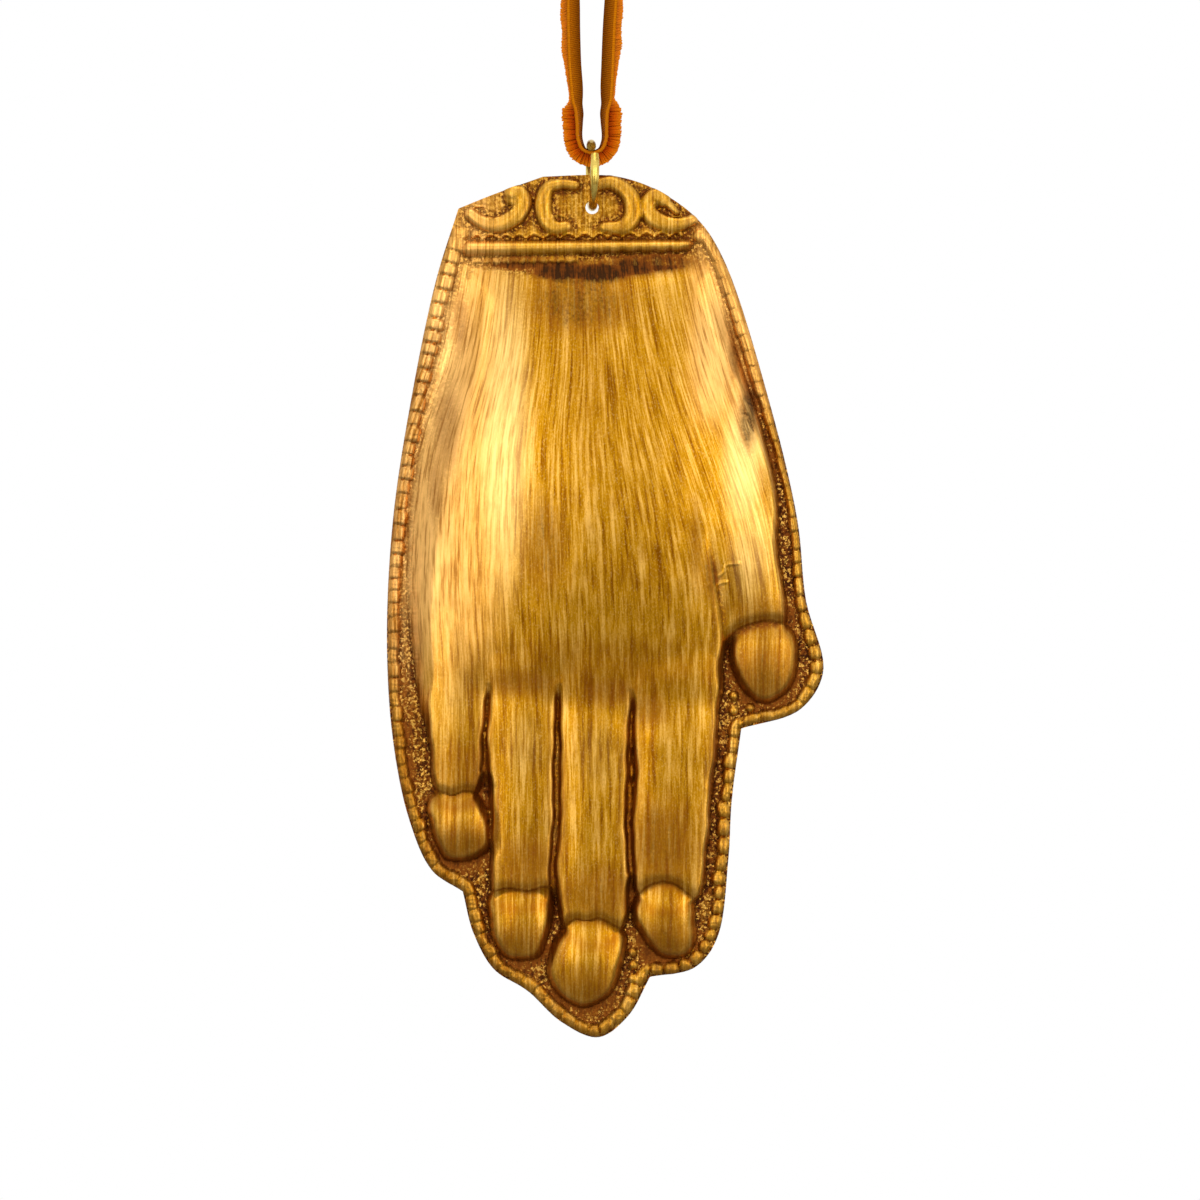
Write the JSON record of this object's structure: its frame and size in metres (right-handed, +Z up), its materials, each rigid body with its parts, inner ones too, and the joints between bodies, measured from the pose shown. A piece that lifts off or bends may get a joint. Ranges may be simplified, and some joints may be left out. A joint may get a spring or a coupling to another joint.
{
  "type": "hand-shaped hanging ornament",
  "caption": "Pressed tin hand pointing down, with a beaded border and a scrolled cuff, hung by a wire ring from a knotted velvet ribbon loop.",
  "frame": {"origin": "inside top of the ribbon loop, under the knot, where a hook bears", "axes": "+Z up along the hanging ornament, the front of the hand faces -Y, +X to the viewer's right"},
  "size_m": [0.0643, 0.0115, 0.1923],
  "materials": {
    "gold_tin": "brushed antique gold with dark glaze in the hollows",
    "brass_wire": "bright drawn wire",
    "velvet": "rust orange velvet with a ribbed back"
  },
  "bodies": {
    "ribbon": {"ribbon_loop": "velvet", "ribbon_knot": "velvet"},
    "ring": {"jump_ring": "brass_wire"},
    "hand": {"hand_plate": "gold_tin"}
  },
  "joints": [
    {"name": "ring_swing", "type": "hinge", "parent": "ribbon", "child": "ring", "pos_m": [0, 0, -0.04965], "axis": [0.9986, 0.0523, 0], "range_deg": [-75, 75]},
    {"name": "hand_swing", "type": "hinge", "parent": "ring", "child": "hand", "pos_m": [0, 0, -0.05425], "axis": [0, 1, 0], "range_deg": [-25, 25]}
  ]
}
